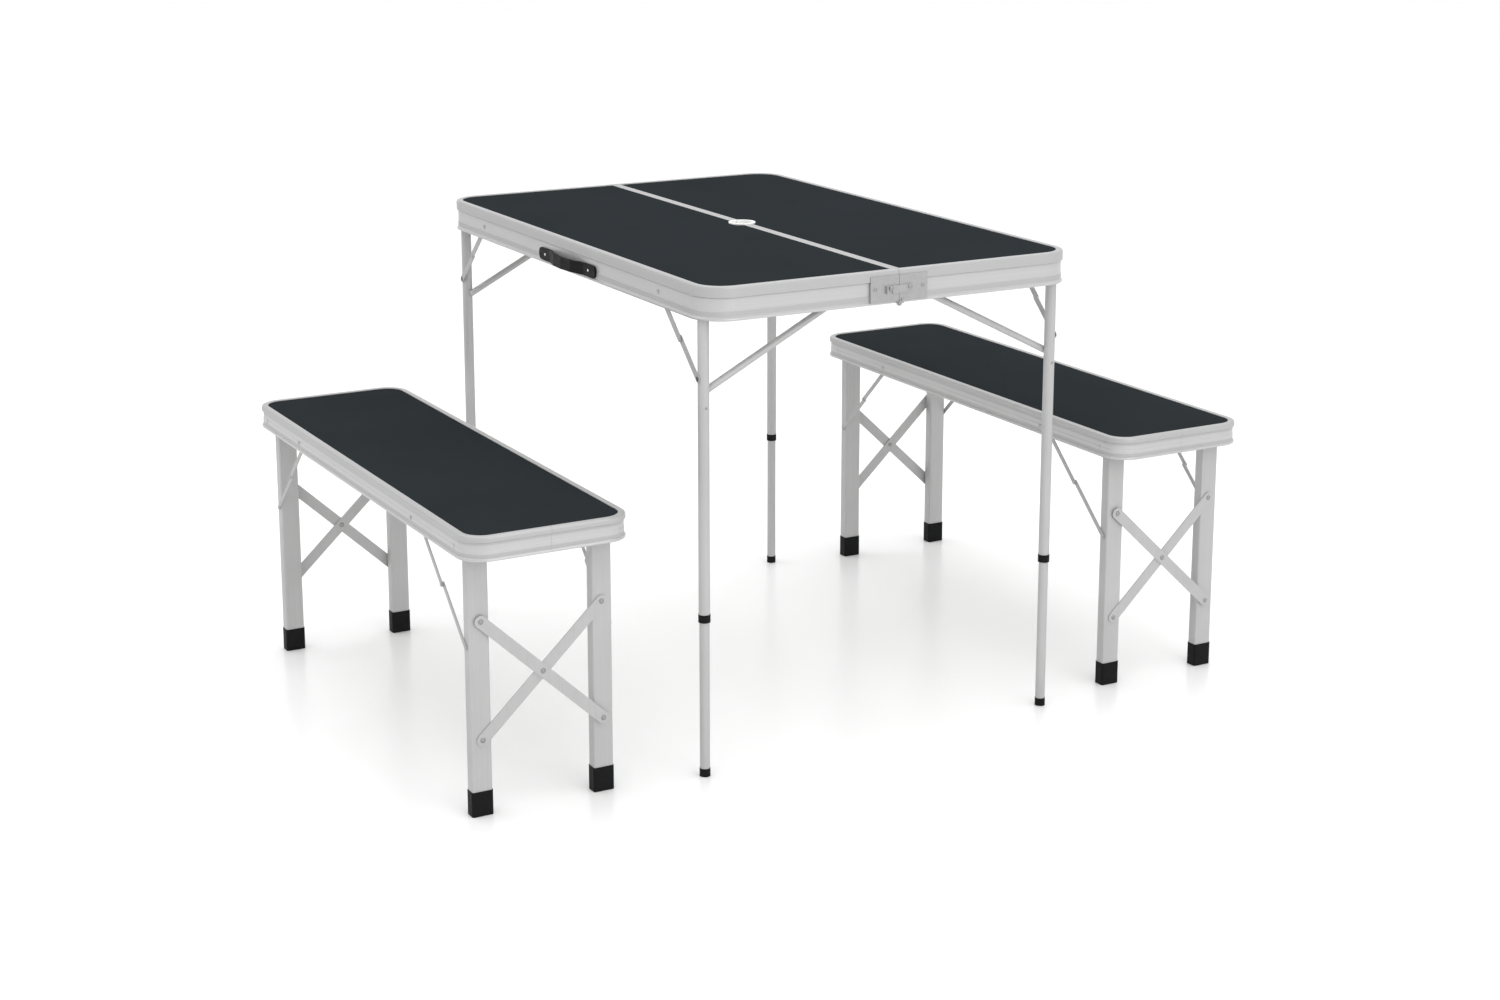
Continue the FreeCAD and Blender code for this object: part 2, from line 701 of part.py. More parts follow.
def leg_frame(half, end):
    """The upper tube and the slanting brace welded to its side, which turn together on two pivots.

    The brace lies further in than the tube, so a yoke carries its upper end back to the pivots' axis.
    """
    side, way = HALVES[half], ENDS[end]
    tag = f"{half}_{end}_leg"
    x, y = f"{way} * {LEG_X}", f"{side} * {LEG_Y}"
    upright = rod(f"{tag}_tube", "z", "leg_tube_radius",
                  ("leg_end_height", "leg_pivot_height + leg_tube_radius"), x, y)
    across = f"({LEG_Y} - brace_pivot_offset)"
    rise = "(leg_pivot_height - brace_foot_height)"
    brace = doc.addObject("Part::Cylinder", f"{tag}_brace")
    brace.setExpression("Radius", bound("brace_radius"))
    brace.setExpression("Height", bound(f"sqrt({across} ^ 2 + {rise} ^ 2)"))
    place(brace, f"{way} * ({LEG_X} - brace_inset)", y, "brace_foot_height", axis=(side, 0, 0),
          angle=f"atan2({across}; {rise})")
    outer_reach = "brace_pivot_offset + knuckle_outer_reach"
    yoke = box(f"{tag}_yoke", span_outwards(way, f"{LEG_X} - brace_inset", LEG_X),
               span_outwards(side, "brace_pivot_offset - knuckle_outer_reach", outer_reach),
               ("leg_pivot_height - yoke_height / 2", "leg_pivot_height + yoke_height / 2"))
    knuckle = rod(f"{tag}_knuckle", "y", "brace_radius + knuckle_wall",
                  span_outwards(side, "brace_pivot_offset - knuckle_inner_reach", outer_reach), x,
                  "leg_pivot_height")
    stub_end = "brace_pivot_offset - stub_length"
    stub = rod(f"{tag}_stub", "y", "leg_pin_radius",
               span_outwards(side, stub_end, "brace_pivot_offset"), x, "leg_pivot_height")
    stub_head = rod(f"{tag}_stub_head", "y", "stub_head_radius",
                    span_outwards(side, f"{stub_end} - stub_head_thickness", stub_end), x,
                    "leg_pivot_height")
    solid = fuse(f"{tag}_solid", [upright, brace, yoke, knuckle, stub, stub_head])
    bore = rod(f"{tag}_bore", "z", LEG_BORE,
               ("leg_end_height - 1", "leg_pivot_height + 2 * leg_tube_radius"), x, y)
    clear_of_tube = f"{LEG_Y} + 2 * leg_tube_radius"
    pin_hole = rod(f"{tag}_pin_hole", "y", "leg_pin_radius + running_gap",
                   span_outwards(side, f"{LEG_Y} - 2 * leg_tube_radius", clear_of_tube), x,
                   "leg_pivot_height")
    rivet_hole = rod(f"{tag}_rivet_hole", "y", "stay_rivet_radius + running_gap",
                     span_outwards(side, LEG_Y, clear_of_tube), x, "stay_leg_height")
    finish(cut(f"{tag}_drilled", solid, [bore, pin_hole, rivet_hole]), f"{tag}_frame")


def leg_collar(half, end):
    """The plastic collar on the upper tube's lower end, which guides the extension."""
    tag = f"{half}_{end}_collar"
    x, y = f"{ENDS[end]} * {LEG_X}", f"{HALVES[half]} * {LEG_Y}"
    ring = rod(f"{tag}_ring", "z", "leg_tube_radius + collar_wall",
               ("collar_bottom", "collar_bottom + collar_height"), x, y)
    seat = rod(f"{tag}_seat", "z", "leg_tube_radius",
               ("leg_end_height", "collar_bottom + collar_height + 1"), x, y)
    guide = rod(f"{tag}_guide", "z", LEG_BORE, ("collar_bottom - 1", "leg_end_height + 1"), x, y)
    finish(cut(f"{tag}_cut", ring, [seat, guide]), f"{half}_{end}_leg_collar")


def leg_extension(half, end):
    """The lower tube, which slides up into the leg for the low table height."""
    x, y = f"{ENDS[end]} * {LEG_X}", f"{HALVES[half]} * {LEG_Y}"
    lower = tube(f"{half}_{end}_lower", EXTENSION_RADIUS, "extension_wall",
                 ("foot_sole", "extension_top"), x, y)
    finish(lower, f"{half}_{end}_leg_extension")


def leg_foot(half, end):
    tag = f"{half}_{end}_foot"
    x, y = f"{ENDS[end]} * {LEG_X}", f"{HALVES[half]} * {LEG_Y}"
    plug = rod(f"{tag}_cap", "z", f"{EXTENSION_RADIUS} + foot_wall", ("0", "foot_height"), x, y)
    seat = rod(f"{tag}_seat", "z", EXTENSION_RADIUS, ("foot_sole", "foot_height + 1"), x, y)
    finish(cut(f"{tag}_cut", plug, [seat]), f"{half}_{end}_leg_foot")


def corner_room(tag, way, side):
    """The space inside a corner of the rim: wide below the ledge, narrower between ledge and panel."""
    x = f"{way} * (table_length / 2 - table_corner_radius)"
    y = f"{side} * (table_width / 2 - table_corner_radius)"
    slot = "rim_lip_thickness + panel_thickness + panel_slack"
    ledge = f"table_height - ({slot}) - rim_ledge_thickness"
    inside = "table_corner_radius - rim_web_recess - rim_web_thickness - corner_gap"
    bottom = "leg_pivot_height - bracket_width"
    return fuse(f"{tag}_room", [
        rod(f"{tag}_room_low", "z", inside, (bottom, ledge), x, y),
        rod(f"{tag}_room_high", "z", "table_corner_radius - rim_lip_width - corner_gap",
            (bottom, panel_levels("table_height")[0]), x, y),
    ])


def leg_brackets(half):
    """A forked bracket for each leg's top and an ear for each brace, under the panel."""
    side = HALVES[half]
    under = panel_levels("table_height")[0]
    ear_height = ("leg_pivot_height - bracket_drop", under)
    pieces = []
    for end, way in ENDS.items():
        tag = f"{half}_{end}_bracket"
        x = f"{way} * {LEG_X}"
        wide = (f"{x} - bracket_width / 2", f"{x} + bracket_width / 2")
        inner = f"{LEG_Y} - leg_tube_radius - bracket_gap"
        outer = f"{LEG_Y} + leg_tube_radius + bracket_gap"
        base = box(f"{tag}_base", wide,
                   span_outwards(side, f"{inner} - bracket_thickness",
                                 f"{outer} + bracket_thickness"),
                   (f"{under} - bracket_thickness", under))
        cheeks = [
            box(f"{tag}_inner_ear", wide, span_outwards(side, f"{inner} - bracket_thickness", inner),
                ear_height),
            box(f"{tag}_outer_ear", wide, span_outwards(side, outer, f"{outer} + bracket_thickness"),
                ear_height),
        ]
        pin = rod(f"{tag}_pin", "y", "leg_pin_radius",
                  span_outwards(side, f"{inner} - bracket_thickness - bracket_pin_rise",
                                f"{outer} + bracket_thickness"), x, "leg_pivot_height")
        fork = doc.addObject("Part::Common", f"{tag}_fitted_fork")
        fork.Base = fuse(f"{tag}_fork", [base, *cheeks, pin])
        fork.Tool = corner_room(tag, way, side)
        pieces.append(fork)
        near = "brace_pivot_offset - brace_ear_gap"
        ear = box(f"{tag}_brace_ear", wide, span_outwards(side, near, f"{near} + bracket_thickness"),
                  ear_height)
        flange = box(f"{tag}_brace_flange", wide,
                     span_outwards(side, near, f"{near} + brace_flange_length"),
                     (f"{under} - bracket_thickness", under))
        hole = rod(f"{tag}_brace_hole", "y", "leg_pin_radius + running_gap",
                   span_outwards(side, f"{near} - bracket_thickness", f"{near} + 2 * bracket_thickness"),
                   x, "leg_pivot_height")
        angle = fuse(f"{tag}_angle", [ear, flange])
        pieces.append(cut(f"{tag}_brace_bracket", angle, [hole]))
    finish(group(f"{half}_brackets", pieces), f"{half}_leg_brackets")


# ---------------------------------------------------------------- folding stays

def flat_link(name, length, width, layer, extras, holes=()):
    """A flat bar along +X from the origin, round-ended, with rivets and spacers fused to it."""
    bar = box(f"{name}_bar", ("0", length), (f"-({width}) / 2", f"({width}) / 2"), ("0", "1"))
    bar.setExpression("Height", bound(f"({layer[1]}) - ({layer[0]})"))
    place(bar, "0", f"-({width}) / 2", layer[0])
    eyes = [rod(f"{name}_eye_{n}", "z", f"({width}) / 2", layer, x, "0")
            for n, x in enumerate(("0", length))]
    pins = [rod(f"{name}_pin_{n}", "z", radius, span, x, "0")
            for n, (x, radius, span) in enumerate(extras)]
    return fuse(f"{name}_solid", [bar, *eyes, *pins])


def set_link(link, way, side, x, y, z, angle):
    """Stand a link upright: its thickness points outwards along Y, its length along way * X.

    angle is how far its far end lies below the horizontal, in degrees; negative is above.
    """
    upright = Rotation(Vector(1, 0, 0), -90 * side)
    turned = Rotation(Vector(0, 1, 0), angle if way > 0 else 180 - angle)
    link.Placement = Placement(Vector(x, y, z), turned.multiply(upright))


def stay_geometry(across, down, span_difference):
    """Link lengths and the slope of a straight stay between a rail pivot and a leg pivot.

    across and down are the distances from the rail pivot to the leg pivot at rest.  The two link
    lengths differ by as much as their pivots' distances from the leg's hinge do, so that the folded
    stay lies flat.
    """
    total = math.hypot(across, down)
    rail_link = (total + span_difference) / 2
    slope = math.degrees(math.atan2(down, across))
    return rail_link, total - rail_link, slope


def table_stay(half, end):
    side, way = HALVES[half], ENDS[end]
    tag = f"{half}_{end}_stay"
    rail_x = size("table_length / 2 - stay_rail_inset")
    leg_x = size(LEG_X)
    rail_z, leg_z = size("stay_rail_height"), size("stay_leg_height")
    down = rail_z - leg_z
    spans = (leg_x - rail_x) - (size("leg_pivot_height") - leg_z)
    rail_length, leg_length, slope = stay_geometry(leg_x - rail_x, down, spans)
    inner = size(f"{LEG_Y} + leg_tube_radius + stay_side_gap")
    leg_layer = ("0", "stay_thickness")
    rail_layer = ("stay_thickness + stay_link_gap", "2 * stay_thickness + stay_link_gap")
    web = f"table_width / 2 - rim_web_recess - rim_web_thickness - {inner}"
    outside = f"{web} + rim_web_thickness"
    rail_link = flat_link(
        f"{tag}_rail", str(rail_length), "stay_width", rail_layer,
        [("0", "stay_spacer_radius", (rail_layer[1], f"{web} - layer_gap")),
         ("0", "stay_rivet_radius", (rail_layer[1], f"{outside} + stay_head_rise")),
         ("0", "stay_head_radius", (f"{outside} + layer_gap", f"{outside} + stay_head_rise")),
         (str(rail_length), "stay_middle_radius",
          (rail_layer[1], f"{rail_layer[1]} + stay_middle_rise")),
         (str(rail_length), "stay_middle_radius",
          ("stay_thickness + stay_washer_gap", rail_layer[0]))])
    set_link(rail_link, way, side, way * rail_x, side * inner, rail_z, slope)
    finish(rail_link, f"{tag}_rail_link")
    leg_link = flat_link(
        f"{tag}_leg", str(leg_length), "stay_width", leg_layer,
        [("0", "stay_head_radius", (leg_layer[1], f"{leg_layer[1]} + stay_foot_rise")),
         ("0", "stay_rivet_radius", ("-stay_tail_end", "0")),
         ("0", "stay_tail_radius", ("-stay_tail_end", "-stay_tail_start"))])
    set_link(leg_link, -way, side, way * leg_x, side * inner, leg_z, -slope)
    finish(leg_link, f"{tag}_leg_link")


# ---------------------------------------------------------------- benches

BENCH_LEG_X = "(bench_length / 2 - bench_leg_inset)"


def bench_rim(bench):
    """The bench's rim: one extrusion bent round all four sides, butted in the middle of an end."""
    side = HALVES[bench]
    middle = f"{side} * bench_spacing"
    long, deep, turn = "bench_length / 2", "bench_width / 2", "bench_corner_radius"
    butt = "seam_gap / 4"
    runs = [
        ((long, f"-{butt}"), (long, f"{turn} - {deep}")),
        ((f"{long} - {turn}", f"-{deep}"), (f"{turn} - {long}", f"-{deep}")),
        ((f"-{long}", f"{turn} - {deep}"), (f"-{long}", f"{deep} - {turn}")),
        ((f"{turn} - {long}", deep), (f"{long} - {turn}", deep)),
        ((long, f"{deep} - {turn}"), (long, butt)),
    ]
    turns = [(f"{long} - {turn}", f"{turn} - {deep}"), (f"{turn} - {long}", f"{turn} - {deep}"),
             (f"{turn} - {long}", f"{deep} - {turn}"), (f"{long} - {turn}", f"{deep} - {turn}")]
    section = rim_section(long, "bench_height", "bench_rim_height", "bench_bead_height",
                          "bench_band_height")
    body = sweep_rim(f"{bench}_bench_bar", section, butt, "bench_height", runs, turns)
    body.setExpression("Placement.Base.y", bound(middle))
    web_in = "bench_width / 2 - rim_web_recess - rim_web_thickness"
    holes, pins = [], []
    for number, (edge, way) in enumerate((e, w) for e in (-1, 1) for w in (-1, 1)):
        tag = f"{bench}_bench_{number}"

        def across(near, far):
            low, high = span_outwards(edge, near, far)
            return f"{middle} + ({low})", f"{middle} + ({high})"

        holes.append(rod(f"{tag}_stay_hole", "y", "bench_rivet_radius + running_gap",
                         across("bench_width / 2 - rim_lip_width", "bench_width / 2 + 1"),
                         f"{way} * bench_stay_rail_offset", "bench_pivot_height"))
        pins.append(rod(f"{tag}_pivot", "y", "bench_pin_radius",
                        across("bench_leg_outer - bench_pin_depth",
                               "bench_width / 2 - rim_web_recess"),
                        f"{way} * {BENCH_LEG_X}", "bench_pivot_height"))
        pins.append(rod(f"{tag}_shoulder", "y", "bench_pin_radius + bench_shoulder_wall",
                        across("bench_leg_outer + bench_stay_side_gap", web_in),
                        f"{way} * {BENCH_LEG_X}", "bench_pivot_height"))
        pins.append(rod(f"{tag}_head", "y", "bench_pin_head_radius",
                        across(web_in, "bench_width / 2 - rim_web_recess + bench_pin_head_rise"),
                        f"{way} * {BENCH_LEG_X}", "bench_pivot_height"))
    drilled = cut(f"{bench}_bench_drilled", body, holes)
    finish(fuse(f"{bench}_bench_frame", [drilled, *pins]), f"{bench}_bench_rim")


def bench_panel(bench):
    middle = f"{HALVES[bench]} * bench_spacing"
    reach = f"bench_length / 2 - ({PANEL_EDGE})"
    half_width = f"bench_width / 2 - ({PANEL_EDGE})"
    board = panel_block(f"{bench}_bench_board", (f"-({reach})", reach),
                        (f"-({half_width})", half_width), panel_levels("bench_height"),
                        f"bench_corner_radius - ({PANEL_EDGE})", lambda x, y: True)
    board.setExpression("Placement.Base.y", bound(middle))
    finish(board, f"{bench}_bench_panel")


def bench_tube(name, x, y, z):
    """A rectangular tube with rounded edges, standing along Z."""
    body = add_body(name)
    outline = add_sketch(body, f"{name}_outline", "XY_Plane", z[0])
    draw_outline(outline, [(x[0], y[0]), (x[1], y[0]), (x[1], y[1]), (x[0], y[1])])
    pad = add_pad(body, outline, f"{name}_pad", f"({z[1]}) - ({z[0]})")
    round_edges(body, pad, f"{name}_edges", "bench_leg_edge_radius", is_upright)
    wall = "bench_leg_wall"
    hollow = box(f"{name}_hollow", (f"{x[0]} + {wall}", f"{x[1]} - {wall}"),
                 (f"{y[0]} + {wall}", f"{y[1]} - {wall}"), (f"{z[0]} - 1", f"{z[1]} + 1"))
    return cut(f"{name}_tube", body, [hollow])


def bench_leg_frame(bench, end):
    """Two rectangular tubes joined by two flat bars that cross on their outer faces.

    One bar lies on the tubes; the other lies over it and stands off the tubes on spacers.
    """
    side, way = HALVES[bench], ENDS[end]
    middle = f"{side} * bench_spacing"
    tag = f"{bench}_bench_{end}"
    x = f"{way} * {BENCH_LEG_X}"
    depth = (f"{x} - bench_leg_depth / 2", f"{x} + bench_leg_depth / 2")
    pieces = []
    for edge in (-1, 1):
        low, high = span_outwards(edge, "bench_leg_outer - bench_leg_width", "bench_leg_outer")
        leg = bench_tube(f"{tag}_leg_{edge + 1}", depth, (f"{middle} + ({low})", f"{middle} + ({high})"),
                         ("bench_foot_sole", "bench_leg_top"))
        near, far = span_outwards(edge, "bench_leg_outer - bench_leg_width / 2",
                                  "bench_leg_outer + 1")
        outer_wall = (f"{middle} + ({near})", f"{middle} + ({far})")
        pivot = rod(f"{tag}_pivot_hole_{edge + 1}", "y", "bench_pin_radius + running_gap", outer_wall,
                    x, "bench_pivot_height")
        rivet = rod(f"{tag}_rivet_hole_{edge + 1}", "y", "bench_rivet_radius + running_gap", outer_wall,
                    x, "bench_stay_leg_height")
        pieces.append(cut(f"{tag}_drilled_leg_{edge + 1}", leg, [pivot, rivet]))
    rise = "(bench_bar_top - bench_bar_bottom)"
    length = size(f"sqrt((2 * bench_bar_offset) ^ 2 + {rise} ^ 2)")
    slope = math.degrees(math.atan2(size(rise), size("2 * bench_bar_offset")))
    lie = Rotation(Vector(0, 0, 1), 90).multiply(Rotation(Vector(1, 0, 0), 90))
    thick = "bench_bar_thickness"
    spacer = ("-bench_bar_thickness", "0") if way > 0 else (thick, f"2 * {thick}")
    spacers = [(spot, "bench_spacer_radius", spacer) for spot in ("0", str(length))]
    under_and_over = [("bench_bar_bottom", slope, []), ("bench_bar_top", -slope, spacers)]
    for number, (start_height, turn, extras) in enumerate(under_and_over):
        near = f"bench_leg_depth / 2 + {number} * {thick}"
        layer = span_outwards(way, near, f"{near} + {thick}")
        bar = flat_link(f"{tag}_bar_{number}", str(length), "bench_bar_width", ("0", thick), extras)
        start = Vector(size(f"{x} + ({layer[0]})"), size(f"{middle} - bench_bar_offset"),
                       size(start_height))
        bar.Placement = Placement(start, Rotation(Vector(1, 0, 0), turn).multiply(lie))
        pieces.append(bar)
    finish(group(f"{tag}_frame_group", pieces), f"{tag}_leg_frame")


def bench_feet(bench, end):
    side, way = HALVES[bench], ENDS[end]
    middle = f"{side} * bench_spacing"
    tag = f"{bench}_bench_{end}_foot"
    x = f"{way} * {BENCH_LEG_X}"
    caps = []
    for edge in (-1, 1):
        low, high = span_outwards(edge, "bench_leg_outer - bench_leg_width", "bench_leg_outer")
        half_depth = "bench_leg_depth / 2"
        wall = "bench_foot_wall"
        body = add_body(f"{tag}_{edge + 1}")
        outline = add_sketch(body, f"{tag}_outline_{edge + 1}", "XY_Plane")
        x_low, x_high = f"{x} - {half_depth} - {wall}", f"{x} + {half_depth} + {wall}"
        y_low, y_high = f"{middle} + ({low}) - {wall}", f"{middle} + ({high}) + {wall}"
        draw_outline(outline, [(x_low, y_low), (x_high, y_low), (x_high, y_high), (x_low, y_high)])
        pad = add_pad(body, outline, f"{tag}_pad_{edge + 1}", "bench_foot_height")
        round_edges(body, pad, f"{tag}_edges_{edge + 1}", "bench_leg_edge_radius + bench_foot_wall",
                    is_upright)
        seat = add_body(f"{tag}_seat_{edge + 1}")
        seat_outline = add_sketch(seat, f"{tag}_seat_outline_{edge + 1}", "XY_Plane",
                                  "bench_foot_sole")
        x_low, x_high = f"{x} - {half_depth}", f"{x} + {half_depth}"
        y_low, y_high = f"{middle} + ({low})", f"{middle} + ({high})"
        draw_outline(seat_outline,
                     [(x_low, y_low), (x_high, y_low), (x_high, y_high), (x_low, y_high)])
        seat_pad = add_pad(seat, seat_outline, f"{tag}_seat_pad_{edge + 1}", "bench_foot_height")
        round_edges(seat, seat_pad, f"{tag}_seat_edges_{edge + 1}", "bench_leg_edge_radius",
                    is_upright)
        caps.append(cut(f"{tag}_cap_{edge + 1}", body, [seat]))
    finish(group(f"{tag}_caps", caps), f"{bench}_bench_{end}_feet")


def bench_stay(bench, end):
    """The stay's links on both edges of a bench; each pair turns about one axis."""
    side, way = HALVES[bench], ENDS[end]
    tag = f"{bench}_bench_{end}_stay"
    rail_x, leg_x = size("bench_stay_rail_offset"), size(BENCH_LEG_X)
    rail_z, leg_z = size("bench_pivot_height"), size("bench_stay_leg_height")
    spans = (leg_x - rail_x) - (rail_z - leg_z)
    rail_length, leg_length, slope = stay_geometry(leg_x - rail_x, rail_z - leg_z, spans)
    inner = size("bench_leg_outer + bench_stay_side_gap")
    leg_layer = ("0", "bench_stay_thickness")
    rail_layer = ("bench_stay_thickness + bench_stay_link_gap",
                  "2 * bench_stay_thickness + bench_stay_link_gap")
    web = f"bench_width / 2 - rim_web_recess - rim_web_thickness - {inner}"
    outside = f"{web} + rim_web_thickness"
    rail_links, leg_links = [], []
    for edge in (-1, 1):
        y = size(f"{side} * bench_spacing") + edge * inner
        link = flat_link(
            f"{tag}_rail_{edge + 1}", str(rail_length), "bench_stay_width", rail_layer,
            [("0", "bench_spacer_ring_radius", (rail_layer[1], f"{web} - layer_gap")),
             ("0", "bench_rivet_radius", (rail_layer[1], f"{outside} + bench_head_rise")),
             ("0", "bench_head_radius", (f"{outside} + rim_band_step + layer_gap",
                                         f"{outside} + bench_head_rise")),
             (str(rail_length), "bench_head_radius",
              (rail_layer[1], f"{rail_layer[1]} + bench_middle_rise")),
             (str(rail_length), "bench_middle_radius",
              ("bench_stay_thickness + stay_washer_gap", rail_layer[0]))])
        set_link(link, way, edge, way * rail_x, y, rail_z, slope)
        rail_links.append(link)
        link = flat_link(
            f"{tag}_leg_{edge + 1}", str(leg_length), "bench_stay_width", leg_layer,
            [("0", "bench_head_radius", (leg_layer[1], f"{leg_layer[1]} + bench_foot_rise")),
             ("0", "bench_rivet_radius", ("-bench_tail_end", "0")),
             ("0", "bench_tail_radius", ("-bench_tail_end", "-bench_tail_start"))])
        set_link(link, -way, edge, way * leg_x, y, leg_z, -slope)
        leg_links.append(link)
    finish(group(f"{tag}_rail_pair", rail_links), f"{tag}_rail_links")
    finish(group(f"{tag}_leg_pair", leg_links), f"{tag}_leg_links")


# ---------------------------------------------------------------- the whole part

for half in HALVES:
    table_rim(half)
    seam_rail(half)
    table_panel(half)
    umbrella_cup(half)
    end_plates(half)
    leg_brackets(half)
    for end in ENDS:
        leg_frame(half, end)
        leg_collar(half, end)
        leg_extension(half, end)
        leg_foot(half, end)
        table_stay(half, end)
carry_handle()
hinge_pins()
for end in ENDS:
    hook(end)
for bench in HALVES:
    bench_rim(bench)
    bench_panel(bench)
    for end in ENDS:
        bench_leg_frame(bench, end)
        bench_feet(bench, end)
        bench_stay(bench, end)

doc.recompute()
failed = [item.Name for item in doc.Objects if {"Invalid", "Error"} & set(item.State)]
if failed:
    raise RuntimeError(f"these objects failed to build: {failed}")
for node in nodes:
    if node.Shape.isNull() or not node.Shape.isValid():
        raise RuntimeError(f"{node.Label} has no valid shape")

os.makedirs("parts", exist_ok=True)
for node in nodes:
    node.Shape.exportStep(f"parts/{node.Label}.step")
    solids = len(node.Shape.Solids)
    print(f"{node.Label}: {solids} solid(s), {node.Shape.Volume / 1000:.2f} cm3")
print(f"{len(nodes)} sub-parts")
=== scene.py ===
import json
import math

import bmesh
import bpy
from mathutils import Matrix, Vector


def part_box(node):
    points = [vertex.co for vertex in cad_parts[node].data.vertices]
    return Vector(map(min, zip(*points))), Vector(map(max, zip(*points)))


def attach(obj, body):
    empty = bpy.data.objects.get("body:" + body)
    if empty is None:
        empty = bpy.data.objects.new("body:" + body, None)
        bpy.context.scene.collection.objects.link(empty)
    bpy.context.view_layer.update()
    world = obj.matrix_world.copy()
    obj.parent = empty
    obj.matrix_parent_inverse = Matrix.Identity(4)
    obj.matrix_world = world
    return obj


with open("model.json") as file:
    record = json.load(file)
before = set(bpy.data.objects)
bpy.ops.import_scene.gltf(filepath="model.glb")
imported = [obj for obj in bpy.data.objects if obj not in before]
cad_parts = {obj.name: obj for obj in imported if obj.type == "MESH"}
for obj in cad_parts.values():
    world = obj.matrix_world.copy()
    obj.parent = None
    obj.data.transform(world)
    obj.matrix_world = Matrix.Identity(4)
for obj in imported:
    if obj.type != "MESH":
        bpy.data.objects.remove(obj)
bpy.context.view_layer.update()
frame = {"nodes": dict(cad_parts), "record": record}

# Folding picnic table with two benches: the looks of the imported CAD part, in metres, in its frame.
# The CAD nodes keep their meshes and get procedural materials.  The heads of small rivets, studs and
# pins are modelled here and ride on the CAD bodies.

RECORD = frame["record"]
JOINTS = {joint["name"]: joint for joint in RECORD["behaviour"]["joints"]}
HALVES = {"front": -1, "rear": 1}
ENDS = {"right": 1, "left": -1}


# ---------------------------------------------------------------- node material helpers

BEVEL_SAMPLES = 4
EDGE_RADIUS = 0.0007
# Cosine between the bevelled and the true normal: a full edge below the first, none above the second.
EDGE_COSINES = (0.80, 0.98)
DOWNWARD_NORMAL_Z = -0.5


class Shader:
    """One node material: a principled shader and short calls that add nodes to it."""

    def __init__(self, name):
        self.material = bpy.data.materials.new(name)
        self.material.use_nodes = True
        self.tree = self.material.node_tree
        self.bsdf = self.tree.nodes["Principled BSDF"]
        self.place = self.add("ShaderNodeTexCoord").outputs["Object"]

    def add(self, kind, **values):
        node = self.tree.nodes.new(kind)
        for key, value in values.items():
            setattr(node, key, value)
        return node

    def link(self, source, target):
        self.tree.links.new(source, target)

    def feed(self, item, socket):
        """Link a socket to another, or set its default value."""
        if isinstance(item, bpy.types.NodeSocket):
            self.link(item, socket)
        elif socket.type == "RGBA":
            socket.default_value = opaque(item)
        else:
            socket.default_value = item

    def set(self, **values):
        for key, value in values.items():
            self.bsdf.inputs[key.replace("_", " ")].default_value = value

    def stretched(self, scale):
        """Object coordinates multiplied by scale, so that a texture runs along one direction."""
        mapping = self.add("ShaderNodeMapping")
        mapping.inputs["Scale"].default_value = scale
        self.link(self.place, mapping.inputs["Vector"])
        return mapping.outputs["Vector"]

    def noise(self, vector, scale=1.0, detail=3.0, roughness=0.5):
        texture = self.add("ShaderNodeTexNoise")
        texture.inputs["Scale"].default_value = scale
        texture.inputs["Detail"].default_value = detail
        texture.inputs["Roughness"].default_value = roughness
        self.link(vector, texture.inputs["Vector"])
        return texture.outputs["Fac"]

    def ramp(self, value, stops):
        """Map a value through (position, colour) stops; a number stands for a grey."""
        node = self.add("ShaderNodeValToRGB")
        elements = node.color_ramp.elements
        while len(elements) < len(stops):
            elements.new(0.5)
        for element, (position, colour) in zip(elements, stops):
            element.position = position
            element.color = opaque(colour)
        self.link(value, node.inputs["Fac"])
        return node.outputs["Color"]

    def mix(self, factor, first, second, blend="MIX"):
        node = self.add("ShaderNodeMix", data_type="RGBA", blend_type=blend)
        factor_socket, first_socket, second_socket = node.inputs[0], node.inputs[6], node.inputs[7]
        self.feed(factor, factor_socket)
        self.feed(first, first_socket)
        self.feed(second, second_socket)
        return node.outputs[2]

    def math(self, operation, first, second=0.0, third=0.0):
        node = self.add("ShaderNodeMath", operation=operation)
        for socket, item in zip(node.inputs, (first, second, third)):
            self.feed(item, socket)
        return node.outputs[0]

    def height(self):
        """The object coordinate along Z."""
        split = self.add("ShaderNodeSeparateXYZ")
        self.link(self.place, split.inputs["Vector"])
        return split.outputs["Z"]

    def edges(self):
        """A mask of sharp edges: 0 on flat and gently curved faces, rising to 1 at an edge."""
        rounded = self.add("ShaderNodeBevel", samples=BEVEL_SAMPLES)
        rounded.inputs["Radius"].default_value = EDGE_RADIUS
        surface = self.add("ShaderNodeNewGeometry")
        facing = self.add("ShaderNodeVectorMath", operation="DOT_PRODUCT")
        self.link(rounded.outputs["Normal"], facing.inputs[0])
        self.link(surface.outputs["Normal"], facing.inputs[1])
        full, none = EDGE_COSINES
        return self.ramp(facing.outputs["Value"], [(full, 1.0), (none, 0.0)])

    def facing_down(self):
        """1 on faces that look down at rest, 0 on all others."""
        split = self.add("ShaderNodeSeparateXYZ")
        coordinates = self.add("ShaderNodeTexCoord")
        self.link(coordinates.outputs["Normal"], split.inputs["Vector"])
        return self.math("LESS_THAN", split.outputs["Z"], DOWNWARD_NORMAL_Z)

    def bump(self, height, strength, distance):
        node = self.add("ShaderNodeBump")
        node.inputs["Strength"].default_value = strength
        node.inputs["Distance"].default_value = distance
        self.link(height, node.inputs["Height"])
        return node.outputs["Normal"]

    def finish(self, colour, roughness, normal):
        self.link(colour, self.bsdf.inputs["Base Color"])
        self.link(roughness, self.bsdf.inputs["Roughness"])
        self.link(normal, self.bsdf.inputs["Normal"])
        return self.material


